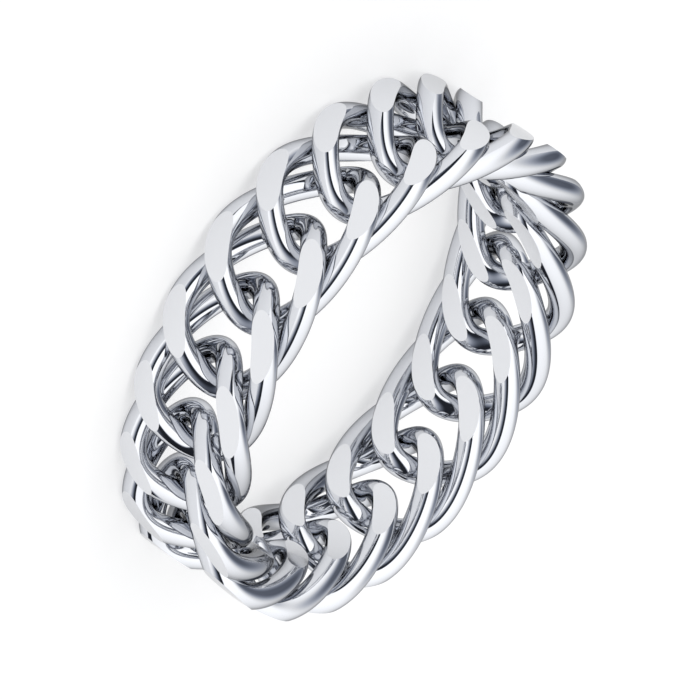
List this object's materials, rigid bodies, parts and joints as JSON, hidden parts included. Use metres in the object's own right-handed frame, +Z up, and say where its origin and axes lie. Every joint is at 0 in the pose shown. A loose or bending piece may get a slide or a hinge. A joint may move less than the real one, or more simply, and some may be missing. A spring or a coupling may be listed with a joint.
{
  "type": "chain link ring",
  "caption": "Finger ring made of a closed band of interlocked round-wire curb links, turned flush inside and outside.",
  "frame": {"origin": "centre of the finger hole, on the surface that the ring lies on", "axes": "+Z up along the finger hole's axis, with the ring lying on its side; +X through the middle of link_01"},
  "size_m": [0.0234, 0.0234, 0.0063],
  "materials": {
    "polished_steel": "polished"
  },
  "bodies": {
    "root": {"link_01": "polished_steel", "link_02": "polished_steel", "link_03": "polished_steel", "link_04": "polished_steel", "link_05": "polished_steel", "link_06": "polished_steel", "link_07": "polished_steel", "link_08": "polished_steel", "link_09": "polished_steel", "link_10": "polished_steel", "link_11": "polished_steel", "link_12": "polished_steel", "link_13": "polished_steel", "link_14": "polished_steel", "link_15": "polished_steel", "link_16": "polished_steel", "link_17": "polished_steel", "link_18": "polished_steel", "link_19": "polished_steel", "link_20": "polished_steel"}
  },
  "joints": []
}
